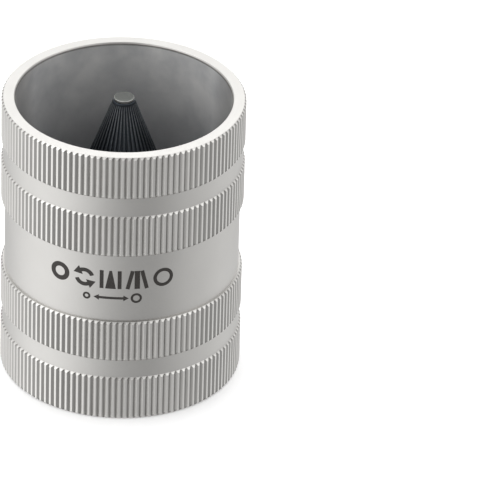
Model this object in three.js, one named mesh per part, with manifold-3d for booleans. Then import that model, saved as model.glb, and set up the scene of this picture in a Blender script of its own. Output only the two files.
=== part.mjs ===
// Hand deburring tool for pipe ends, 10 to 54 mm.
//
// A knurled aluminium sleeve holds two nested cutting cones. The inner cone points up through the
// upper mouth and cuts the burr inside a pipe's end. The outer cone opens downwards and cuts the
// burr outside it. Both cones go in from below, up to a shoulder in the sleeve. Three drive pins
// lock their flanges to it, a wire ring keeps them in, and a rivet holds their tips together.
//
// Millimetres, +Z up along the tool's axis, origin at the centre of the lower rim.

import * as THREE from "three";
import { mergeVertices } from "three/addons/utils/BufferGeometryUtils.js";
import Module from "manifold-3d";

const wasm = await Module();
wasm.setup();

// Sleeve
const HEIGHT = 84.5;
const CREST_RADIUS = 34; // over the knurl
const RIB_COUNT = 124;
const RIB_DEPTH = 0.5;
const CHAMFER = 0.55; // at 45 degrees, on both ends of every knurled band
const NECK_RADIUS = CREST_RADIUS - CHAMFER; // the narrow smooth bands and the flat rims
const MOUTH_RADIUS = 30.1; // upper bore
const MOUTH_BEVEL = { width: 0.4, height: 0.5 }; // on the inner edge of the upper rim
const SEAT_RADIUS = 31; // lower bore, which holds the flanges
const SEAT_BEVEL = 0.3; // on the inner edge of the lower rim
const SHOULDER_HEIGHT = 16.3; // where the lower bore ends

// Knurled bands, as the heights of their lower and upper edges, and the smooth waist between them.
const LOWER_BANDS = [[0, 13.45], [18.95, 31.6]];
const WAIST = { from: 31.6, to: 52.9, radius: 32.95 };
const UPPER_BANDS = [[52.9, 65.7], [71.4, HEIGHT]];

// Cones
const CONE_SLOPE = Math.tan(THREE.MathUtils.degToRad(20.5)); // radius lost per millimetre of height
const FLUTE_COUNT = 36;
const TIP_HEIGHT = 83.6; // flat end of the inner cone
const TIP_RADIUS = 3.06;
const COLLAR_HEIGHT = 0.4; // plain part under the flat end
const INNER_CONE_WALL = 2.9; // measured horizontally, like the other walls
const OUTER_CONE_WALL = 2.2;
const FLANGE_SPLIT = 9.15; // height where the two flanges meet
const LIP_HEIGHT = 2.4; // lower end of the outer cone
const LIP_CHAMFER = 2; // height of the smooth lead-in
const LIP_RADIUS = 29.6;
const INNER_CAVITY_TOP = 73.1; // flat end of the space inside the inner cone
const OUTER_CAVITY_TOP = 66.6; // flat end of the space inside the outer cone

// Fasteners
const RIVET_RADIUS = 1.5;
const RIVET_HEAD = { radius: 2.85, thickness: 0.7 };
const RIVET_TAIL = { radius: 2.3, thickness: 1.1 };
const WASHER = { radius: 2.8, thickness: 0.6 };
const WASHER_RECESS = { radius: 3.2, depth: 2.8 };
const PIN_RADIUS = 1.3;
const PIN_COUNT = 3;
const RING = { inner: 30.3, outer: 31.5, thickness: 0.9, gapAngle: 0.12 };
const GROOVE = { radius: 31.75, height: 1.3 };
const RING_HEIGHT = 1.5; // middle of the ring and of its groove

// Clearances
const GAP = 0.3; // between faces that touch
const FIT = 0.15; // around the rivet and the pins

const ROUND_SIDES = 72;
const SMALL_SIDES = 24;
const OVERSHOOT = 1; // how far a cutter passes the face that it cuts

const FLANGE_RADIUS = SEAT_RADIUS - GAP;
const PIN_CIRCLE = FLANGE_RADIUS;

// Tooth outlines: each point is a share of the pitch and a share of the tooth's depth.
const KNURL_RIB = [[0, 0], [0.5, 1]];
const INNER_FLUTE = [[0, 0], [0.35, 0], [0.62, 1]];
const OUTER_FLUTE = [[0, 1], [0.9, 0]];

const ALUMINIUM = { color: 0xc9cac8, roughness: 0.35, metalness: 0.95 };
const BLACK_STEEL = { color: 0x26282b, roughness: 0.45, metalness: 0.8 };
const BRIGHT_STEEL = { color: 0x8d908c, roughness: 0.4, metalness: 0.9 };
const SPRING_STEEL = { color: 0x1a1a1b, roughness: 0.5, metalness: 0.7 };

// Radius of the inner cone's cutting edges at a height, less whatever wall lies outside a surface.
function coneRadius(z, wall = 0) {
  return TIP_RADIUS + (TIP_HEIGHT - z) * CONE_SLOPE - wall;
}

// Solid of revolution whose side repeats one tooth. Each row is [height, radius, tooth depth].
function toothedSolid(rows, count, outline) {
  const sides = count * outline.length;
  const positions = [];
  for (const [z, radius, depth] of rows) {
    for (let tooth = 0; tooth < count; tooth++) {
      for (const [along, down] of outline) {
        const angle = (2 * Math.PI * (tooth + along)) / count;
        const r = radius - depth * down;
        positions.push(r * Math.cos(angle), r * Math.sin(angle), z);
      }
    }
  }
  const bottom = rows.length * sides;
  const top = bottom + 1;
  positions.push(0, 0, rows[0][0], 0, 0, rows[rows.length - 1][0]);

  const index = [];
  const lastRow = (rows.length - 1) * sides;
  for (let side = 0; side < sides; side++) {
    const next = (side + 1) % sides;
    index.push(bottom, next, side);
    index.push(top, lastRow + side, lastRow + next);
    for (let row = 0; row < lastRow; row += sides) {
      index.push(row + side, row + next, row + sides + next);
      index.push(row + side, row + sides + next, row + sides + side);
    }
  }
  const geometry = new THREE.BufferGeometry();
  geometry.setAttribute("position", new THREE.Float32BufferAttribute(positions, 3));
  geometry.setIndex(index);
  return geometry;
}

// Lathe about +Z. The profile runs upwards as [radius, height] and is closed on the axis.
function revolve(profile, sides = ROUND_SIDES) {
  const first = [0, profile[0][1]];
  const last = [0, profile[profile.length - 1][1]];
  const points = [first, ...profile, last].map(([r, z]) => new THREE.Vector2(r, z));
  return new THREE.LatheGeometry(points, sides).rotateX(Math.PI / 2);
}

function rod(radius, from, to, sides = SMALL_SIDES) {
  return revolve([[radius, from], [radius, to]], sides);
}

function toSolid(geometry) {
  const bare = geometry.clone();
  bare.deleteAttribute("normal");
  bare.deleteAttribute("uv");
  const merged = mergeVertices(bare, 1e-4);
  const vertProperties = new Float32Array(merged.attributes.position.array);
  const triVerts = new Uint32Array(merged.index.array);
  return new wasm.Manifold(new wasm.Mesh({ numProp: 3, vertProperties, triVerts }));
}

function toGeometry(solid) {
  const mesh = solid.getMesh();
  const geometry = new THREE.BufferGeometry();
  geometry.setAttribute("position", new THREE.BufferAttribute(mesh.vertProperties, 3));
  geometry.setIndex(new THREE.BufferAttribute(mesh.triVerts, 1));
  geometry.computeVertexNormals();
  return geometry;
}

function cut(body, ...tools) {
  return toGeometry(tools.reduce((solid, tool) => solid.subtract(toSolid(tool)), toSolid(body)));
}

function pinAngle(index) {
  return Math.PI / 2 + (2 * Math.PI * index) / PIN_COUNT;
}

function placeOnPinCircle(geometry, index) {
  return geometry.translate(PIN_CIRCLE, 0, 0).rotateZ(pinAngle(index));
}

// Cutters for the slots in the sleeve and the flanges, open downwards so that the pins slide in.
function pinSlots() {
  return Array.from({ length: PIN_COUNT }, (_, index) =>
    placeOnPinCircle(rod(PIN_RADIUS + FIT, -OVERSHOOT, SHOULDER_HEIGHT - FIT), index));
}

function bandRows([from, to]) {
  return [
    [from, NECK_RADIUS, 0],
    [from + CHAMFER, CREST_RADIUS, RIB_DEPTH],
    [to - CHAMFER, CREST_RADIUS, RIB_DEPTH],
    [to, NECK_RADIUS, 0],
  ];
}

function gripSleeve() {
  const outside = [
    ...LOWER_BANDS.flatMap(bandRows),
    [WAIST.from, WAIST.radius, 0],
    [WAIST.to, WAIST.radius, 0],
    ...UPPER_BANDS.flatMap(bandRows),
  ];
  const bore = revolve([
    [SEAT_RADIUS + SEAT_BEVEL, -OVERSHOOT],
    [SEAT_RADIUS + SEAT_BEVEL, 0],
    [SEAT_RADIUS, SEAT_BEVEL],
    [SEAT_RADIUS, RING_HEIGHT - GROOVE.height / 2],
    [GROOVE.radius, RING_HEIGHT - GROOVE.height / 2],
    [GROOVE.radius, RING_HEIGHT + GROOVE.height / 2],
    [SEAT_RADIUS, RING_HEIGHT + GROOVE.height / 2],
    [SEAT_RADIUS, SHOULDER_HEIGHT],
    [MOUTH_RADIUS, SHOULDER_HEIGHT],
    [MOUTH_RADIUS, HEIGHT - MOUTH_BEVEL.height],
    [MOUTH_RADIUS + MOUTH_BEVEL.width, HEIGHT],
    [MOUTH_RADIUS + MOUTH_BEVEL.width, HEIGHT + OVERSHOOT],
  ]);
  return cut(toothedSolid(outside, RIB_COUNT, KNURL_RIB), bore, ...pinSlots());
}

function innerDeburringCone() {
  const flangeTop = SHOULDER_HEIGHT - GAP;
  const flangeBottom = FLANGE_SPLIT + GAP / 2;
  const fluteStart = flangeTop + 2;
  const fluteEnd = TIP_HEIGHT - COLLAR_HEIGHT;
  const outside = toothedSolid([
    [flangeBottom, FLANGE_RADIUS, 0],
    [flangeTop, FLANGE_RADIUS, 0],
    [flangeTop, coneRadius(flangeTop), 0],
    [fluteStart, coneRadius(fluteStart), 1.2],
    [fluteEnd - 0.4, coneRadius(fluteEnd - 0.4), 0.4],
    [fluteEnd, coneRadius(fluteEnd), 0],
    [TIP_HEIGHT, TIP_RADIUS, 0],
  ], FLUTE_COUNT, INNER_FLUTE);
  const cavityBottom = flangeBottom - OVERSHOOT;
  const cavity = revolve([
    [coneRadius(cavityBottom, INNER_CONE_WALL), cavityBottom],
    [coneRadius(INNER_CAVITY_TOP, INNER_CONE_WALL), INNER_CAVITY_TOP],
  ]);
  const rivetHole = rod(RIVET_RADIUS + FIT, INNER_CAVITY_TOP - OVERSHOOT, TIP_HEIGHT + OVERSHOOT);
  return cut(outside, cavity, rivetHole, ...pinSlots());
}

function outerDeburringCone() {
  const flangeTop = FLANGE_SPLIT - GAP / 2;
  const outsideWall = INNER_CONE_WALL + GAP;
  const edgeWall = outsideWall + OUTER_CONE_WALL;
  const tip = INNER_CAVITY_TOP - GAP;
  const outside = revolve([
    [FLANGE_RADIUS, LIP_HEIGHT],
    [FLANGE_RADIUS, flangeTop],
    [coneRadius(flangeTop, outsideWall), flangeTop],
    [coneRadius(tip, outsideWall), tip],
  ]);
  const fluteStart = LIP_HEIGHT + LIP_CHAMFER;
  const cavity = toothedSolid([
    [LIP_HEIGHT - OVERSHOOT, LIP_RADIUS, 0],
    [LIP_HEIGHT, LIP_RADIUS, 0],
    [fluteStart, coneRadius(fluteStart, edgeWall), -0.9],
    [OUTER_CAVITY_TOP, coneRadius(OUTER_CAVITY_TOP, edgeWall), -0.25],
  ], FLUTE_COUNT, OUTER_FLUTE);
  const recessTop = OUTER_CAVITY_TOP + WASHER_RECESS.depth;
  const recess = rod(WASHER_RECESS.radius, OUTER_CAVITY_TOP - OVERSHOOT, recessTop);
  const rivetHole = rod(RIVET_RADIUS + FIT, recessTop - OVERSHOOT, tip + OVERSHOOT);
  return cut(outside, cavity, recess, rivetHole, ...pinSlots());
}

const WASHER_TOP = OUTER_CAVITY_TOP + WASHER_RECESS.depth - GAP;
const WASHER_BOTTOM = WASHER_TOP - WASHER.thickness;

function rivetWasher() {
  const plate = rod(WASHER.radius, WASHER_BOTTOM, WASHER_TOP);
  const hole = rod(RIVET_RADIUS + FIT, WASHER_BOTTOM - OVERSHOOT, WASHER_TOP + OVERSHOOT);
  return cut(plate, hole);
}

function centreRivet() {
  const headBottom = TIP_HEIGHT + GAP / 2;
  const headTop = headBottom + RIVET_HEAD.thickness;
  const tailTop = WASHER_BOTTOM - FIT;
  const tailBottom = tailTop - RIVET_TAIL.thickness;
  const bevel = 0.15;
  return revolve([
    [RIVET_TAIL.radius * 0.7, tailBottom],
    [RIVET_TAIL.radius, tailBottom + RIVET_TAIL.thickness / 2],
    [RIVET_TAIL.radius, tailTop],
    [RIVET_RADIUS, tailTop],
    [RIVET_RADIUS, headBottom],
    [RIVET_HEAD.radius, headBottom],
    [RIVET_HEAD.radius, headTop - bevel],
    [RIVET_HEAD.radius - bevel, headTop],
  ], SMALL_SIDES);
}

// Open ring of flat wire. Its gap faces the first drive pin.
function retainingRing() {
  const start = pinAngle(0) + RING.gapAngle / 2;
  const end = start + 2 * Math.PI - RING.gapAngle;
  const outline = new THREE.Shape();
  outline.absarc(0, 0, RING.outer, start, end, false);
  outline.absarc(0, 0, RING.inner, end, start, true);
  const settings = { depth: RING.thickness, bevelEnabled: false, curveSegments: ROUND_SIDES };
  return new THREE.ExtrudeGeometry(outline, settings)
    .translate(0, 0, RING_HEIGHT - RING.thickness / 2);
}

function drivePin(index) {
  const bottom = LIP_HEIGHT + GAP;
  const top = SHOULDER_HEIGHT - GAP - FIT;
  const bevel = 0.25;
  const pin = revolve([
    [PIN_RADIUS - bevel, bottom],
    [PIN_RADIUS, bottom + bevel],
    [PIN_RADIUS, top - bevel],
    [PIN_RADIUS - bevel, top],
  ], SMALL_SIDES);
  return placeOnPinCircle(pin, index);
}

const tool = new THREE.Group();

function add(name, geometry, look) {
  const mesh = new THREE.Mesh(geometry, new THREE.MeshStandardMaterial(look));
  mesh.name = name;
  tool.add(mesh);
}

add("grip_sleeve", gripSleeve(), ALUMINIUM);
add("inner_deburring_cone", innerDeburringCone(), BLACK_STEEL);
add("outer_deburring_cone", outerDeburringCone(), BLACK_STEEL);
add("centre_rivet", centreRivet(), BRIGHT_STEEL);
add("rivet_washer", rivetWasher(), BRIGHT_STEEL);
add("retaining_ring", retainingRing(), SPRING_STEEL);
for (let index = 0; index < PIN_COUNT; index++) {
  add(`drive_pin_${index + 1}`, drivePin(index), BRIGHT_STEEL);
}

export default tool;
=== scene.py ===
import math

import bpy
import numpy as np
from mathutils import Matrix, Vector


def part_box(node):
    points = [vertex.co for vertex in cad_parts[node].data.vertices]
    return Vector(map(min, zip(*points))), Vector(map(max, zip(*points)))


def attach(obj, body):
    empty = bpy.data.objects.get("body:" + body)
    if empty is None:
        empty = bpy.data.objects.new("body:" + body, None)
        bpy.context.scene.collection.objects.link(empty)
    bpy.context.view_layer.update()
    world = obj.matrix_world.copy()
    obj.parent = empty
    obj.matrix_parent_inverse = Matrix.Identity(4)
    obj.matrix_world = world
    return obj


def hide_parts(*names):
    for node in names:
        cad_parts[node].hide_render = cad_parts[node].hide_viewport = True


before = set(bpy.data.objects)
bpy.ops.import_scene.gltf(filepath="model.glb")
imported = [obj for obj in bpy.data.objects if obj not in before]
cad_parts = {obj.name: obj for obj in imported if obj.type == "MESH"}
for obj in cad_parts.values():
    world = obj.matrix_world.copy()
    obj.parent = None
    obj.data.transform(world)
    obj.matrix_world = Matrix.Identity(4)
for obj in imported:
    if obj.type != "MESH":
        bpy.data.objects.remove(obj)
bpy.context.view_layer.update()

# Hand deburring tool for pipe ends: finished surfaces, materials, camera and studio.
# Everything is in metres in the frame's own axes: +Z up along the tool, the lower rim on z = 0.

MM = 0.001
BODY = "root"

# Sleeve, in millimetres like every size below. Its height and crest come from the frame.
SLEEVE_FAR_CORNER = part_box("grip_sleeve")[1]
HEIGHT = SLEEVE_FAR_CORNER[2] / MM
CREST = SLEEVE_FAR_CORNER[0] / MM
RIB_COUNT = 124
RIB_DEPTH = 0.5
CHAMFER = 0.55           # at 45 degrees, on both ends of every knurled band
SHADED_VALLEY_END = 0.5         # length of the valleys' ends that are painted darker, a painted shade
NECK = CREST - CHAMFER   # the narrow smooth bands and the flat rims
WAIST = 32.95
BORE = 30.1
BORE_BEVEL = (0.4, 0.5)  # width and height, on the inner edge of the upper rim
BORE_SHADE_LINE = 0.7          # width of the dark line painted under the bevel, a painted shade
SEAT = 31.0
SEAT_BEVEL = 0.3
SHOULDER = 16.3
LOWER_BANDS = ((0.0, 13.45), (18.95, 31.6))
UPPER_BANDS = ((52.9, 65.7), (71.4, HEIGHT))
# Polish of a surface, from 1 on a rubbed crest through 0 in a valley, whose darker colour is partly
# painted shade, to -1 for a corner with painted shade.
SMOOTH = 0.5
DULL = 0.2
LEAD_IN = 0.1
PAINTED_SHADE_LEVEL = -1.0
# One rib and one valley: share of the pitch, share of the depth, polish (its low valley value partly
# painted shade).
RIB_OUTLINE = (
    (0.000, 0.00, 1.0), (0.155, 0.00, 1.0), (0.175, 0.03, 0.8), (0.190, 0.08, 0.2),
    (0.485, 0.97, 0.0), (0.500, 1.00, 0.0), (0.515, 0.97, 0.0),
    (0.810, 0.08, 0.2), (0.825, 0.03, 0.8), (0.845, 0.00, 1.0),
)

# Cones
CONE_SLOPE = math.tan(math.radians(20.5))
FLUTE_COUNT = 36
INNER_FLUTE_DEPTH = (1.2, 0.42)   # at the wide end and at the tip
OUTER_FLUTE_DEPTH = (0.9, 0.25)
TIP_HEIGHT = 83.6
TIP_RADIUS = 3.06
COLLAR_HEIGHT = 0.4      # plain part under the flat end
INNER_WALL = 2.9
OUTER_WALL = 2.2
GAP = 0.3
FLANGE = SEAT - GAP
FLANGE_SPLIT = 9.15
FLANGE_TOP = SHOULDER - GAP
LIP_HEIGHT = 2.4
LIP_RADIUS = 29.6
LIP_CHAMFER = 2.0
INNER_CAVITY_TOP = 73.1
OUTER_CAVITY_TOP = 66.6

# Fasteners
RIVET = 1.5
RIVET_HEAD = 2.85
RIVET_HEAD_HEIGHT = 0.7
RIVET_TAIL_HEIGHT = 1.1
WASHER = 2.8
WASHER_HEIGHT = 0.6
FIT = 0.15
RECESS = 3.2
RECESS_TOP = OUTER_CAVITY_TOP + 2.8
PIN = 1.3
PIN_COUNT = 3
PIN_CIRCLE = FLANGE
GROOVE = 31.75
GROOVE_HEIGHT = 1.3
RING_HEIGHT = 1.5
RING_WIRE = 0.45         # radius of the wire
RING_RADIUS = 30.9       # to the middle of the wire
RING_GAP = math.radians(7)

# Camera and its aim, measured across its line of sight from a point on the tool's axis.
CAMERA_POINT = 42.1
CAMERA_DISTANCE = 1.635
CAMERA_ELEVATION = math.radians(31.37)
CAMERA_LENS = 436.7
CAMERA_ROLL = math.radians(1.66)
AIM_RIGHT = 33.2 * MM
AIM_DOWN = 3.1 * MM


# ---------------------------------------------------------------- meshes

def columns(count, outline):
    """Angles, depth shares and polish with painted shade in the valleys around a toothed ring."""
    share = np.array([point[0] for point in outline])
    angle = 2 * math.pi * (np.arange(count)[:, None] + share[None, :]) / count
    depth = np.tile([point[1] for point in outline], count)
    polish_and_painted_light = np.tile([point[2] for point in outline], count)
    return angle.ravel(), depth, polish_and_painted_light


def pin_angle(number):
    return math.pi / 2 + 2 * math.pi * number / PIN_COUNT


def pin_reach(angle, radius):
    """How far out the round slots of the drive pins reach at each angle, or 0 beside them."""
    reach = np.zeros_like(angle)
    for number in range(PIN_COUNT):
        aside = angle - pin_angle(number)
        across = PIN_CIRCLE * np.sin(aside)
        inside = (np.abs(across) < radius) & (np.cos(aside) > 0)
        half = np.sqrt(np.where(inside, radius ** 2 - across ** 2, 0))
        reach = np.where(inside, PIN_CIRCLE * np.cos(aside) + half, reach)
    return reach


def new_object(name, vertices, faces, smooth_angle=30):
    mesh = bpy.data.meshes.new(name)
    mesh.from_pydata(vertices, [], faces)
    mesh.validate()
    mesh.shade_smooth()
    mesh.set_sharp_from_angle(angle=math.radians(smooth_angle))
    piece = bpy.data.objects.new(name, mesh)
    bpy.context.scene.collection.objects.link(piece)
    return piece


def set_polish_and_painted_light(piece, values):
    layer = piece.data.attributes.new("polish_and_painted_light", "FLOAT", "POINT")
    layer.data.foreach_set("value", np.asarray(values, dtype=np.float32))


def merge_points(points, faces):
    """Merges points at the same place and drops the faces that have no area. Gives the points left,
    where each came from, and the faces."""
    places, origin, index = np.unique(points, axis=0, return_index=True, return_inverse=True)
    corners = [tuple(dict.fromkeys(face)) for face in index.ravel()[faces].tolist()]
    return places, origin, [face for face in corners if len(face) > 2]


def revolve_loop(name, angle, loop, polish_and_painted_light=None, smooth_angle=30):
    """A ring-shaped solid. loop goes up the outside and down the inside as (height, radius) in
    millimetres, where a radius is one number or one for each angle."""
    rows = []
    for height, radius in loop:
        radius = np.broadcast_to(radius, angle.shape)
        height = np.broadcast_to(height, angle.shape)
        rows.append(np.stack([radius * np.cos(angle), radius * np.sin(angle), height], axis=1))
    around, count = len(angle), len(rows)
    column = np.arange(around)
    following = (column + 1) % around
    quads = []
    for row in range(count):
        low, high = row * around, (row + 1) % count * around
        quads.append(np.stack([low + column, low + following, high + following, high + column], axis=1))
    vertices, origin, faces = merge_points(np.concatenate(rows) * MM, np.concatenate(quads))
    piece = new_object(name, vertices, faces, smooth_angle)
    if polish_and_painted_light is not None:
        set_polish_and_painted_light(piece, np.concatenate(polish_and_painted_light)[origin])
    return piece


def revolve_rod(name, profile, sides=64, smooth_angle=30):
    """A solid rod. profile runs upwards as (radius, height) in millimetres, off the axis."""
    angle = np.arange(sides) * 2 * math.pi / sides
    vertices = [(0, 0, profile[0][1] * MM), (0, 0, profile[-1][1] * MM)]
    for radius, height in profile:
        vertices += [(radius * MM * math.cos(a), radius * MM * math.sin(a), height * MM) for a in angle]
    faces = []
    for side in range(sides):
        following = (side + 1) % sides
        first, last = 2, 2 + (len(profile) - 1) * sides
        faces.append((0, first + following, first + side))
        faces.append((1, last + side, last + following))
        for low in range(first, last, sides):
            high = low + sides
            faces.append((low + side, low + following, high + following, high + side))
    return new_object(name, vertices, faces, smooth_angle)


def finish_piece(piece, node, material):
    piece.data.materials.append(material)
    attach(piece, BODY)
    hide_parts(node)


# ---------------------------------------------------------------- sleeve

def knurl_rows(bands, depth, polish_and_painted_light):
    """Rows up knurled bands. A chamfer cuts the ribs back at both ends of each, down to the neck."""
    cut = RIB_DEPTH * depth
    plain = np.full(depth.shape, SMOOTH)
    # Where the chamfer meets a valley, the valley's end is painted darker: painted shade.
    painted_shade = polish_and_painted_light - depth
    rows, shine = [], []
    for low, high in bands:
        foot, head = low + CHAMFER - cut, high - CHAMFER + cut
        rows += [
            (low, NECK),
            (foot, CREST - cut),
            (foot + SHADED_VALLEY_END, CREST - cut),
            (head - SHADED_VALLEY_END, CREST - cut),
            (head, CREST - cut),
            (high, NECK),
        ]
        shine += [plain, painted_shade, polish_and_painted_light, polish_and_painted_light, painted_shade, plain]
    return rows, shine


def bore_rows(angle):
    """Rows down both bores, with the slots of the drive pins and the groove of the wire ring."""
    bevel_width, bevel_height = BORE_BEVEL
    seat = np.maximum(SEAT, pin_reach(angle, PIN + FIT))
    slot_top = SHOULDER - FIT
    groove_low = RING_HEIGHT - GROOVE_HEIGHT / 2
    groove_high = RING_HEIGHT + GROOVE_HEIGHT / 2
    rows = [
        (HEIGHT, BORE + bevel_width),
        (HEIGHT - bevel_height, BORE),
        (HEIGHT - bevel_height - BORE_SHADE_LINE, BORE),
        (SHOULDER, BORE),
        (SHOULDER, SEAT),
        (slot_top, SEAT),
        (slot_top, seat),
        (groove_high, seat),
        (groove_high, np.maximum(GROOVE, seat)),
        (groove_low, np.maximum(GROOVE, seat)),
        (groove_low, seat),
        (SEAT_BEVEL, seat),
        (0, np.maximum(SEAT + SEAT_BEVEL, seat)),
    ]
    shine = [np.full(angle.shape, SMOOTH)] * len(rows)
    # The row under the bevel is painted dark: painted shade along the bore's edge.
    shine[1] = np.full(angle.shape, PAINTED_SHADE_LEVEL)
    return rows, shine


def sleeve():
    angle, depth, polish_and_painted_light = columns(RIB_COUNT, RIB_OUTLINE)
    lower, lower_shine = knurl_rows(LOWER_BANDS, depth, polish_and_painted_light)
    waist = [(LOWER_BANDS[-1][1], WAIST), (UPPER_BANDS[0][0], WAIST)]
    waist_shine = [np.full(angle.shape, SMOOTH)] * len(waist)
    upper, upper_shine = knurl_rows(UPPER_BANDS, depth, polish_and_painted_light)
    bore, bore_shine = bore_rows(angle)
    rows = lower + waist + upper + bore
    shine = lower_shine + waist_shine + upper_shine + bore_shine
    return revolve_loop("sleeve", angle, rows, shine, smooth_angle=15)


# ---------------------------------------------------------------- cones

# Inner cone: a narrow land, a short steep cutting face, and a long relief.
INNER_FLUTE = (
    (0.00, 0.03, 0.9), (0.04, 0.00, 1.0), (0.20, 0.00, 0.8), (0.34, 0.00, 1.0), (0.38, 0.06, 0.8),
    (0.46, 0.90, 0.0), (0.52, 1.00, 0.0), (0.72, 1.00, 0.0), (0.86, 0.92, 0.0), (0.96, 0.12, 0.4),
)
# Outer cone: broad flat facets with a small step at the end of each.
OUTER_FLUTE = (
    (0.00, 1.00, 0.0), (0.04, 0.98, 0.0), (0.30, 0.70, 0.3), (0.60, 0.36, 0.3), (0.84, 0.10, 0.4),
    (0.90, 0.02, 1.0), (0.93, 0.00, 1.0), (0.96, 0.10, 0.7),
)


def cone_radius(height, wall=0.0):
    return TIP_RADIUS + (TIP_HEIGHT - height) * CONE_SLOPE - wall


def between(ends, share):
    return ends[0] + (ends[1] - ends[0]) * share


def notched_flange(angle):
    """The flanges' radius, cut back by the slots of the drive pins."""
    slot = pin_reach(angle, PIN + FIT)
    return np.where(slot > 0, np.minimum(FLANGE, 2 * PIN_CIRCLE - slot), FLANGE)


def inner_cone():
    angle, depth, polish_and_painted_light = columns(FLUTE_COUNT, INNER_FLUTE)
    notched = notched_flange(angle)
    flute_start, flute_end = FLANGE_TOP + 2, TIP_HEIGHT - COLLAR_HEIGHT
    low = FLANGE_SPLIT + GAP / 2
    bevel, fillet_width, fillet_height = 0.3, 0.5, 0.4
    rows = [
        (low, notched),
        (FLANGE_TOP - bevel, notched),
        (FLANGE_TOP, np.minimum(notched, FLANGE - bevel)),
        (FLANGE_TOP, cone_radius(FLANGE_TOP) + fillet_width),
        (FLANGE_TOP + fillet_height, cone_radius(FLANGE_TOP + fillet_height)),
    ]
    dull, painted_shade = np.full(angle.shape, DULL), np.full(angle.shape, PAINTED_SHADE_LEVEL)
    shine = [dull] * len(rows)
    run_in, run_out = 0.04, 0.01
    for share in (0, 0.01, 0.02, run_in, 0.25, 0.5, 0.75, 1 - run_out, 1 - run_out / 2):
        height = between((flute_start, flute_end), share)
        fade = min(1, math.sqrt(share / run_in), math.sqrt((1 - share) / run_out))
        rows.append((height, cone_radius(height) - between(INNER_FLUTE_DEPTH, share) * fade * depth))
        shine.append(polish_and_painted_light * (0.5 + 0.5 * fade))
    collar = [(flute_end, cone_radius(flute_end)), (TIP_HEIGHT - 0.1, TIP_RADIUS + 0.02)]
    inside = [
        (TIP_HEIGHT, TIP_RADIUS - 0.1),
        (TIP_HEIGHT, RIVET + FIT),
        (INNER_CAVITY_TOP, RIVET + FIT),
        (INNER_CAVITY_TOP, cone_radius(INNER_CAVITY_TOP, INNER_WALL)),
        (low, cone_radius(low, INNER_WALL)),
    ]
    rows += collar + inside
    # The plain collar under the tip is painted darker: painted shade.
    shine += [painted_shade] * len(collar) + [dull] * len(inside)
    return revolve_loop("inner_cone", angle, rows, shine, smooth_angle=25)


def outer_cone():
    angle, depth, polish_and_painted_light = columns(FLUTE_COUNT, OUTER_FLUTE)
    notched = notched_flange(angle)
    outside_wall = INNER_WALL + GAP
    edge_wall = outside_wall + OUTER_WALL
    flange_top = FLANGE_SPLIT - GAP / 2
    tip = INNER_CAVITY_TOP - GAP
    bevel = 0.2
    rows = [
        (LIP_HEIGHT, FLANGE - bevel),
        (LIP_HEIGHT + bevel, notched),
        (flange_top, notched),
        (flange_top, cone_radius(flange_top, outside_wall)),
        (tip, cone_radius(tip, outside_wall)),
        (tip, RIVET + FIT),
        (RECESS_TOP, RIVET + FIT),
        (RECESS_TOP, RECESS),
        (OUTER_CAVITY_TOP, RECESS),
    ]
    shine = [np.full(angle.shape, DULL)] * len(rows)
    lead_top = LIP_HEIGHT + LIP_CHAMFER
    for share in (1, 0.75, 0.5, 0.25, 0.05, 0):
        height = between((lead_top, OUTER_CAVITY_TOP), share)
        cut = between(OUTER_FLUTE_DEPTH, share)
        rows.append((height, cone_radius(height, edge_wall) + cut * depth))
        shine.append(polish_and_painted_light)
    # The flutes run on into the smooth lead-in and give it a toothed edge.
    for share in (0.75, 0.5, 0.25, 0):
        height = LIP_HEIGHT + LIP_CHAMFER * share
        lead_in = between((LIP_RADIUS, cone_radius(lead_top, edge_wall)), share)
        flute = cone_radius(height, edge_wall) + OUTER_FLUTE_DEPTH[0] * depth
        rows.append((height, np.maximum(lead_in, flute)))
        shine.append(np.full(angle.shape, LEAD_IN))
    return revolve_loop("outer_cone", angle, rows, shine, smooth_angle=25)


# ---------------------------------------------------------------- fasteners

def rivet():
    head_low = TIP_HEIGHT + GAP / 2
    head_high = head_low + RIVET_HEAD_HEIGHT
    tail_high = RECESS_TOP - GAP - WASHER_HEIGHT - FIT
    tail_low = tail_high - RIVET_TAIL_HEIGHT
    tail = [
        (0.7, tail_low), (1.4, tail_low + 0.12), (1.9, tail_low + 0.32),
        (2.2, tail_low + 0.6), (2.3, tail_low + 0.85), (2.25, tail_high),
    ]
    shank = [(RIVET, tail_high), (RIVET, head_low)]
    head = [
        (RIVET_HEAD - 0.05, head_low),
        (RIVET_HEAD, head_low + 0.06),
        (RIVET_HEAD, head_high - 0.14),
        (RIVET_HEAD - 0.06, head_high - 0.05),
        (RIVET_HEAD - 0.16, head_high - 0.01),
        (RIVET_HEAD - 1.25, head_high),
    ]
    piece = revolve_rod("rivet", tail + shank + head, sides=96)
    # The head's outer edge is painted brighter: a painted highlight.
    edge_highlight = [vertex.co.xy.length > (RIVET_HEAD - 0.1) * MM for vertex in piece.data.vertices]
    set_polish_and_painted_light(piece, edge_highlight)
    return piece


def washer():
    sides, bevel = 64, 0.1
    high = RECESS_TOP - GAP
    low = high - WASHER_HEIGHT
    hole = RIVET + FIT
    loop = [
        (low, WASHER - bevel), (low + bevel, WASHER), (high - bevel, WASHER), (high, WASHER - bevel),
        (high, hole + bevel), (high - bevel, hole), (low, hole),
    ]
    return revolve_loop("washer", np.arange(sides) * 2 * math.pi / sides, loop)


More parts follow.
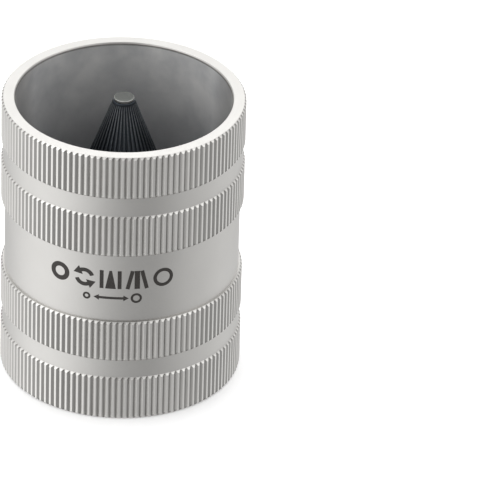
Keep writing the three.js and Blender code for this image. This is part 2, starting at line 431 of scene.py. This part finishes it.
def wire_ring():
    """Open ring of round wire with rounded ends. Its gap faces the first drive pin."""
    steps, sides = 180, 14
    start = pin_angle(0) + RING_GAP / 2
    end = start + 2 * math.pi - RING_GAP
    rounding = ((0.0, 0.6), (0.004, 0.9))    # angle from the wire's end, share of its thickness
    straight = 0.012                         # angle from its end to its full thickness
    stations = [(start + inward, size) for inward, size in rounding]
    stations += [(around, 1.0) for around in np.linspace(start + straight, end - straight, steps + 1)]
    stations += [(end - inward, size) for inward, size in reversed(rounding)]
    vertices = []
    for around, size in stations:
        for side in range(sides):
            turn = 2 * math.pi * side / sides
            radius = (RING_RADIUS + RING_WIRE * size * math.cos(turn)) * MM
            height = (RING_HEIGHT + RING_WIRE * size * math.sin(turn)) * MM
            vertices.append((radius * math.cos(around), radius * math.sin(around), height))
    faces = []
    last = (len(stations) - 1) * sides
    for low in range(0, last, sides):
        high = low + sides
        for side in range(sides):
            following = (side + 1) % sides
            faces.append((low + side, high + side, high + following, low + following))
    faces.append(tuple(range(sides)))
    faces.append(tuple(reversed(range(last, last + sides))))
    return new_object("wire_ring", vertices, faces)


def drive_pin(number):
    low, high = LIP_HEIGHT + GAP, SHOULDER - GAP - FIT
    bevel, round_off = 0.25, 0.07
    profile = [
        (PIN - bevel, low), (PIN - round_off, low + round_off), (PIN, low + bevel),
        (PIN, high - bevel), (PIN - round_off, high - round_off), (PIN - bevel, high),
    ]
    pin = revolve_rod(f"pin_{number}", profile, sides=40)
    turn = Matrix.Rotation(pin_angle(number - 1), 4, "Z")
    pin.data.transform(turn @ Matrix.Translation((PIN_CIRCLE * MM, 0, 0)))
    return pin


# ---------------------------------------------------------------- etched marking

MARK_HIGH = 0.03         # how far the mark stands off the waist
MARK_DEEP = 0.04         # how far its underside reaches into it
SYMBOL_HEIGHT = 45.0     # middle of the row of pictograms
SYMBOL_REACH = 2.9       # from there to their upper and lower ends
SYMBOL_PITCH = 7.4
SYMBOL_SHIFT = -2.9      # middle of the row, measured around the waist
SIZE_HEIGHT = 39.1       # middle of the size mark under it


class Drawing:
    """Flat faces with their corners counterclockwise. Points are measured around the waist and up."""

    def __init__(self):
        self.points = []
        self.faces = []

    def point(self, place):
        self.points.append((place[0], place[1]))
        return len(self.points) - 1

    def face(self, *corners):
        self.faces.append(corners)

    def outline(self):
        """Edges that only one face has."""
        edges = [edge for face in self.faces for edge in zip(face, face[1:] + face[:1])]
        known = set(edges)
        return [(start, end) for start, end in edges if (end, start) not in known]


def patch(drawing, left, right, steps=4):
    """Flat faces between two edges of equally many points, split so that they can be bent."""
    rows = []
    for start, end in zip(left, right):
        points = [Vector(start).lerp(Vector(end), step / steps) for step in range(steps + 1)]
        rows.append([drawing.point(point) for point in points])
    for low, high in zip(rows, rows[1:]):
        for step in range(steps):
            drawing.face(low[step], low[step + 1], high[step + 1], high[step])


def arrowhead(drawing, left, right, point, along, width):
    """A head that shares the two corners at the end of a ribbon."""
    across = Vector((-along.y, along.x))
    corners = (point + across * width * 1.2, point + along * width * 2, point - across * width * 1.2)
    outer_left, tip, outer_right = (drawing.point(corner) for corner in corners)
    drawing.face(left, right, tip)
    drawing.face(right, outer_right, tip)
    drawing.face(outer_left, left, tip)


def ribbon(drawing, points, width, closed=False, heads=()):
    """A flat band of constant width along points, with an arrowhead at its start or its end."""
    points = [Vector(point) for point in points]
    last = len(points) - 1
    sides = []
    for index, point in enumerate(points):
        before = points[index - 1] if closed or index else point
        after = points[(index + 1) % len(points)] if closed or index < last else point
        along = (after - before).normalized()
        across = Vector((-along.y, along.x)) * width / 2
        sides.append((drawing.point(point + across), drawing.point(point - across), along))
    for index in range(last + 1 if closed else last):
        left, right, _ = sides[index]
        next_left, next_right, _ = sides[(index + 1) % len(sides)]
        drawing.face(left, right, next_right, next_left)
    if "end" in heads:
        left, right, along = sides[last]
        arrowhead(drawing, left, right, points[last], along, width)
    if "start" in heads:
        left, right, along = sides[0]
        arrowhead(drawing, right, left, points[0], -along, width)


def arc(centre, radius, start, end, steps):
    turns = [start + (end - start) * step / steps for step in range(steps + 1)]
    return [(centre[0] + radius * math.cos(turn), centre[1] + radius * math.sin(turn)) for turn in turns]


def circle(drawing, centre, radius, width):
    ribbon(drawing, arc(centre, radius, 0, 2 * math.pi, 40)[:-1], width, closed=True)


def bar(drawing, start, end, width, heads=()):
    start, end = Vector(start), Vector(end)
    ribbon(drawing, [start.lerp(end, step / 6) for step in range(7)], width, heads=heads)


def draw_symbols(drawing):
    """A pipe's end, turn to and fro, cut inside, cut outside, a clean pipe's end."""
    places = [SYMBOL_SHIFT + SYMBOL_PITCH * step for step in range(-2, 3)]
    rough, turn, inside, outside, clean = places
    middle, reach = SYMBOL_HEIGHT, SYMBOL_REACH
    stroke = 1.1
    circle(drawing, (rough, middle), reach - 0.7, 1.4)
    for start in (0.1, 1.1):
        sweep = arc((turn, middle), reach - 0.6, math.pi * start, math.pi * (start + 0.55), 16)
        ribbon(drawing, sweep, 1.2, heads=("end",))
    for side in (-1, 1):
        wall = inside + 2.5 * side
        bar(drawing, (wall, middle - reach), (wall, middle + reach), stroke)
        low = (outside + 2.7 * side, middle - reach)
        high = (outside + 1.3 * side, middle + reach)
        bar(drawing, low, high, stroke)
    for centre, low, high in ((inside, 1.5, 0.35), (outside, 0.75, 0.75)):
        left = [(centre - low, middle - reach), (centre - high, middle + reach)]
        right = [(centre + low, middle - reach), (centre + high, middle + reach)]
        patch(drawing, left, right)
    circle(drawing, (clean, middle), reach - 0.5, 1.0)


def draw_size_mark(drawing):
    """From a small pipe to a large one."""
    circle(drawing, (-9.6, SIZE_HEIGHT), 0.8, 0.6)
    bar(drawing, (-6.1, SIZE_HEIGHT), (0.7, SIZE_HEIGHT), 0.75, heads=("start", "end"))
    circle(drawing, (4.3, SIZE_HEIGHT), 1.25, 0.65)


def around_waist(point, lift):
    along, height = point
    radius, turn = WAIST + lift, along / WAIST
    return (radius * math.sin(turn) * MM, -radius * math.cos(turn) * MM, height * MM)


def etched_mark():
    """The drawing as a thin solid, bent around the waist."""
    drawing = Drawing()
    draw_symbols(drawing)
    draw_size_mark(drawing)
    low = [around_waist(point, -MARK_DEEP) for point in drawing.points]
    high = [around_waist(point, MARK_HIGH) for point in drawing.points]
    count = len(low)
    underside = [face[::-1] for face in drawing.faces]
    top = [tuple(corner + count for corner in face) for face in drawing.faces]
    edge = [(start, end, end + count, start + count) for start, end in drawing.outline()]
    return new_object("etched_mark", low + high, underside + top + edge, smooth_angle=0)


# ---------------------------------------------------------------- materials

class Look:
    """A metal or paint with its node tree, and short ways to add nodes to it."""

    def __init__(self, name, metallic, roughness):
        self.material = bpy.data.materials.new(name)
        self.material.use_nodes = True
        self.tree = self.material.node_tree
        self.shader = self.tree.nodes["Principled BSDF"]
        self.shader.inputs["Metallic"].default_value = metallic
        self.shader.inputs["Roughness"].default_value = roughness
        position = self.add("ShaderNodeTexCoord").outputs["Object"]
        split = self.add("ShaderNodeSeparateXYZ", Vector=position)
        self.position = position
        self.x, self.y, self.z = split.outputs
        squares = [self.maths("MULTIPLY", side, side) for side in (self.x, self.y)]
        self.radius = self.maths("SQRT", self.maths("ADD", *squares))
        self.angle = self.maths("ARCTAN2", self.y, self.x)
        self.normal = None

    def add(self, kind, **inputs):
        node = self.tree.nodes.new(kind)
        for name, value in inputs.items():
            self.feed(node.inputs[name.replace("_", " ")], value)
        return node

    def feed(self, socket, value):
        if isinstance(value, bpy.types.NodeSocket):
            self.tree.links.new(value, socket)
        else:
            socket.default_value = value

    def set(self, name, value):
        self.feed(self.shader.inputs[name], value)

    def maths(self, operation, first, second=0.0):
        node = self.tree.nodes.new("ShaderNodeMath")
        node.operation = operation
        self.feed(node.inputs[0], first)
        self.feed(node.inputs[1], second)
        return node.outputs[0]

    def vector(self, x=0.0, y=0.0, z=0.0):
        return self.add("ShaderNodeCombineXYZ", X=x, Y=y, Z=z).outputs[0]

    def noise(self, scale, detail=3.0, vector=None):
        node = self.add("ShaderNodeTexNoise", Vector=vector or self.position, Scale=scale, Detail=detail,
                        Roughness=0.55)
        return node.outputs["Fac"]

    def spread(self, value, low, high, start=0.0, end=1.0):
        """value from start..end stretched onto low..high, and kept there."""
        node = self.add("ShaderNodeMapRange", Value=value, From_Min=start, From_Max=end, To_Min=low,
                        To_Max=high)
        return node.outputs["Result"]

    def blend(self, share, first, second):
        node = self.tree.nodes.new("ShaderNodeMix")
        node.data_type = "RGBA"
        self.feed(node.inputs[0], share)
        self.feed(node.inputs[6], (*first, 1) if isinstance(first, tuple) else first)
        self.feed(node.inputs[7], (*second, 1) if isinstance(second, tuple) else second)
        return node.outputs[2]

    def mottle(self, noise, first, second, start=0.35, end=0.65):
        """Two colours mixed by a noise, from all first at start to all second at end."""
        return self.blend(self.spread(noise, 0, 1, start, end), first, second)

    def bump(self, height, depth):
        """Adds relief of the given depth in millimetres, on top of what is there."""
        node = self.add("ShaderNodeBump", Height=height, Distance=depth * MM, Strength=1.0)
        if self.normal:
            self.feed(node.inputs["Normal"], self.normal)
        self.normal = node.outputs["Normal"]
        self.set("Normal", self.normal)

    # Real polish on crests, painted shade in valleys and corners, and a painted highlight on the rivet
    # head's edge.
    def polish_and_painted_light(self):
        node = self.tree.nodes.new("ShaderNodeAttribute")
        node.attribute_name = "polish_and_painted_light"
        return node.outputs["Fac"]

    def turned_lines(self, lines_per_mm):
        """Fine rings left by a lathe, on walls, chamfers and end faces alike."""
        across = self.maths("ADD", self.radius, self.z)
        vector = self.vector(across, self.maths("MULTIPLY", self.angle, 0.0002), 0.0)
        return self.noise(lines_per_mm / MM, 2.0, vector)


BORE_DEPTH_SHADE = (45 * MM, 80 * MM)       # heights where the bore's painted shade is full and where it ends
BORE_SIDE_SHADE = (25 * MM, 29.5 * MM)   # distances from the middle where the painted shade at its sides starts and is full
RUBBED_ABOVE_SHADE = (71 * MM, 80 * MM)      # heights where the inner cone's rubbed edges start to shine and shine fully; lower down their shine is cut back as painted shade
CONE_DEPTH_SHADE = (70 * MM, 79 * MM)       # heights where the painted shade low on the cones is full and where it ends


def bore_colour(look, cloud):
    """Cloudy at the mouth, with painted shade further down and at both sides."""
    cloudy = look.mottle(cloud, (0.73, 0.735, 0.74), (0.93, 0.925, 0.915))
    # Painted shade: the bore goes darker further down.
    deeper_shaded = look.blend(look.spread(look.z, 1, 0, *BORE_DEPTH_SHADE), cloudy, (0.47, 0.475, 0.49))
    # Painted shade: the bore goes darker towards its sides along x.
    side_shade = look.spread(look.maths("ABSOLUTE", look.x), 0, 0.65, *BORE_SIDE_SHADE)
    return look.blend(side_shade, deeper_shaded, (0.24, 0.235, 0.23))


def satin_aluminium():
    look = Look("satin_aluminium", 1.0, 0.4)
    grain = look.noise(5200)
    cloud = look.noise(90)
    lines = look.turned_lines(3.5)
    polish_and_painted_light = look.polish_and_painted_light()
    bore = look.maths("LESS_THAN", look.radius, (BORE + 0.1) * MM)
    dull = look.mottle(cloud, (0.385, 0.378, 0.365), (0.425, 0.418, 0.405), 0.3, 0.7)
    bright = look.mottle(grain, (0.62, 0.61, 0.59), (0.69, 0.68, 0.66))
    clean = look.blend(bore, look.blend(polish_and_painted_light, dull, bright), bore_colour(look, cloud))
    # Painted shade: the valleys' ends and the line under the bore's bevel go towards dark brown.
    painted_shade_mask = look.spread(polish_and_painted_light, 1, 0, -1, 0)
    look.set("Base Color", look.blend(painted_shade_mask, clean, (0.13, 0.12, 0.11)))
    # The oxidised bore stays dull at a glancing angle.
    look.set("Specular Tint", look.blend(bore, (1.0, 1.0, 1.0), (0.15, 0.15, 0.15)))
    rough = look.spread(grain, 0.36, 0.46, 0.35, 0.65)
    smoother = look.maths("MULTIPLY", polish_and_painted_light, -0.06)
    rougher = look.maths("MULTIPLY", bore, 0.30)
    look.set("Roughness", look.maths("ADD", rough, look.maths("ADD", smoother, rougher)))
    look.bump(grain, 0.012)
    look.bump(lines, 0.006)
    return look.material


def black_steel():
    look = Look("black_steel", 0.9, 0.4)
    grain = look.noise(3000)
    around = look.maths("MULTIPLY", look.angle, 60.0)
    along = look.maths("MULTIPLY", look.z, 120.0)
    streak = look.noise(1.0, vector=look.vector(around, along))
    polish_and_painted_light = look.polish_and_painted_light()
    oxide = look.mottle(streak, (0.030, 0.036, 0.043), (0.058, 0.068, 0.080), 0.3, 0.7)
    edge = look.maths("POWER", look.maths("MAXIMUM", polish_and_painted_light, 0.0), 2.0)
    # Real wear on the edges, with its shine cut back lower down as painted shade.
    rubbed_above_shade = look.maths("MULTIPLY", edge, look.spread(look.z, 0.25, 1, *RUBBED_ABOVE_SHADE))
    wear_and_painted_light = look.maths("MULTIPLY", rubbed_above_shade, look.spread(grain, 0.35, 1, 0.35, 0.65))
    metal = look.blend(wear_and_painted_light, oxide, (0.20, 0.21, 0.22))
    # Painted shade: the collar under the tip, and everything low on both cones, go darker.
    painted_shade_mask = look.spread(polish_and_painted_light, 0.6, 0, -1, 0)
    lower_shade = look.spread(look.z, 0.5, 0, *CONE_DEPTH_SHADE)
    all_painted_shade = look.maths("MAXIMUM", painted_shade_mask, lower_shade)
    look.set("Base Color", look.blend(all_painted_shade, metal, (0.015, 0.017, 0.020)))
    look.set("Roughness", look.spread(grain, 0.34, 0.50, 0.3, 0.7))
    look.bump(grain, 0.008)
    look.bump(streak, 0.02)
    return look.material


def ground_steel():
    look = Look("ground_steel", 1.0, 0.4)
    grain = look.noise(4000)
    lines = look.turned_lines(5.0)
    dull = look.mottle(lines, (0.058, 0.061, 0.058), (0.088, 0.092, 0.086))
    # Brighter where the polish attribute is set: on the rivet head's edge a painted highlight.
    wear_and_painted_light = look.maths("MULTIPLY", look.polish_and_painted_light(), look.spread(grain, 0.7, 1.0, 0.35, 0.65))
    look.set("Base Color", look.blend(wear_and_painted_light, dull, (0.32, 0.32, 0.31)))
    look.set("Roughness", look.spread(grain, 0.36, 0.52, 0.3, 0.7))
    look.bump(lines, 0.008)
    look.bump(grain, 0.012)
    return look.material


def spring_wire():
    look = Look("spring_wire", 0.9, 0.35)
    grain = look.noise(3500, 2.0)
    scuffs = look.noise(600)
    look.set("Base Color", look.mottle(scuffs, (0.02, 0.02, 0.021), (0.09, 0.09, 0.09), 0.55, 0.7))
    look.set("Roughness", look.spread(grain, 0.28, 0.46, 0.3, 0.7))
    look.bump(grain, 0.006)
    return look.material


def etched_black():
    look = Look("etched_black", 0.1, 0.6)
    grain = look.noise(5200)
    look.set("Base Color", look.mottle(grain, (0.014, 0.012, 0.010), (0.034, 0.029, 0.025), 0.3, 0.7))
    look.set("Roughness", look.spread(grain, 0.5, 0.7, 0.3, 0.7))
    look.bump(grain, 0.008)
    return look.material


# ---------------------------------------------------------------- camera, floor and light

def add_camera():
    middle = Vector((0, 0, CAMERA_POINT * MM))
    back = Vector((0, -math.cos(CAMERA_ELEVATION), math.sin(CAMERA_ELEVATION)))
    right = Vector((1, 0, 0))
    up = back.cross(right)
    place = middle + back * CAMERA_DISTANCE
    aim = middle + right * AIM_RIGHT - up * AIM_DOWN
    turn = (aim - place).to_track_quat("-Z", "Y").to_matrix() @ Matrix.Rotation(CAMERA_ROLL, 3, "Z")
    data = bpy.data.cameras.new("camera")
    data.lens = CAMERA_LENS
    data.clip_end = 20
    camera = bpy.data.objects.new("camera", data)
    camera.matrix_world = Matrix.Translation(place) @ turn.to_4x4()
    bpy.context.scene.collection.objects.link(camera)
    bpy.context.scene.camera = camera


def add_floor():
    look = Look("pale_floor", 0.0, 0.8)
    look.set("Base Color", (0.93, 0.93, 0.93, 1))
    mesh = bpy.data.meshes.new("floor")
    reach = 6
    corners = [(-reach, -reach, 0), (reach, -reach, 0), (reach, reach, 0), (-reach, reach, 0)]
    mesh.from_pydata(corners, [], [(0, 1, 2, 3)])
    mesh.materials.append(look.material)
    floor = bpy.data.objects.new("floor", mesh)
    # The metal mirrors the lit surround below the horizon in place of the floor, as on a glass table.
    floor.visible_glossy = False
    floor.visible_shadow = False
    bpy.context.scene.collection.objects.link(floor)


def add_softbox(name, place, width, height, radiance):
    """A rectangular light aimed at the middle of the tool. Its power follows from how bright it looks."""
    data = bpy.data.lights.new(name, "AREA")
    data.shape = "RECTANGLE"
    data.size = width
    data.size_y = height
    data.energy = radiance * math.pi * width * height
    softbox = bpy.data.objects.new(name, data)
    softbox.location = place
    middle = Vector((0, 0, HEIGHT * MM / 2))
    softbox.rotation_euler = (middle - Vector(place)).to_track_quat("-Z", "Y").to_euler()
    bpy.context.scene.collection.objects.link(softbox)


SURROUND = 0.20          # radiance of the darkest part, high up in front
SURROUND_LIGHTS = (      # direction, where it starts and is full, power of its rise, radiance added
    ((0, 0, -1), -0.10, 0.45, 1, 0.28),
    ((0, 0, -1), 0.60, 1.00, 1, 0.30),
    ((-0.98, -0.17, 0), -0.30, 0.85, 2.3, 1.05),
    ((1, 0, 0), 0.45, 0.85, 1, 0.42),
    ((0.50, 0.87, 0), 0.35, 0.85, 1, 0.33),
    ((0, 0.86, 0.51), 0.50, 0.95, 1, 0.75),
    ((-0.60, -0.22, 0.77), 0.80, 0.93, 1, 1.20),
    ((0.60, -0.22, 0.77), 0.80, 0.93, 1, 1.20),
)


def add_surround():
    """A soft white room. Each of its lights grows with the direction's nearness to its own."""
    world = bpy.data.worlds.new("surround")
    bpy.context.scene.world = world
    world.use_nodes = True
    tree = world.node_tree
    direction = tree.nodes.new("ShaderNodeTexCoord").outputs["Generated"]
    total = tree.nodes.new("ShaderNodeValue").outputs[0]
    total.default_value = SURROUND
    for toward, start, full, power, radiance in SURROUND_LIGHTS:
        near = tree.nodes.new("ShaderNodeVectorMath")
        near.operation = "DOT_PRODUCT"
        tree.links.new(direction, near.inputs[0])
        near.inputs[1].default_value = toward
        share = tree.nodes.new("ShaderNodeMapRange")
        tree.links.new(near.outputs["Value"], share.inputs["Value"])
        share.inputs["From Min"].default_value = start
        share.inputs["From Max"].default_value = full
        rise = tree.nodes.new("ShaderNodeMath")
        rise.operation = "POWER"
        tree.links.new(share.outputs["Result"], rise.inputs[0])
        rise.inputs[1].default_value = power
        add = tree.nodes.new("ShaderNodeMath")
        add.operation = "MULTIPLY_ADD"
        tree.links.new(rise.outputs[0], add.inputs[0])
        add.inputs[1].default_value = radiance
        tree.links.new(total, add.inputs[2])
        total = add.outputs[0]
    background = tree.nodes["Background"]
    background.inputs["Color"].default_value = (1, 1, 1, 1)
    tree.links.new(total, background.inputs["Strength"])


def add_studio():
    bpy.context.scene.view_settings.view_transform = "Standard"
    add_surround()
    add_softbox("top_softbox", place=(0.0, 0.25, 0.80), width=0.9, height=0.8, radiance=2.6)


# ---------------------------------------------------------------- assembly

aluminium = satin_aluminium()
black = black_steel()
steel = ground_steel()

finish_piece(sleeve(), "grip_sleeve", aluminium)
finish_piece(inner_cone(), "inner_deburring_cone", black)
finish_piece(outer_cone(), "outer_deburring_cone", black)
finish_piece(rivet(), "centre_rivet", steel)
finish_piece(washer(), "rivet_washer", steel)
finish_piece(wire_ring(), "retaining_ring", spring_wire())
for number in range(1, PIN_COUNT + 1):
    finish_piece(drive_pin(number), f"drive_pin_{number}", steel)

mark = etched_mark()
mark.data.materials.append(etched_black())
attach(mark, BODY)

add_camera()
add_floor()
add_studio()
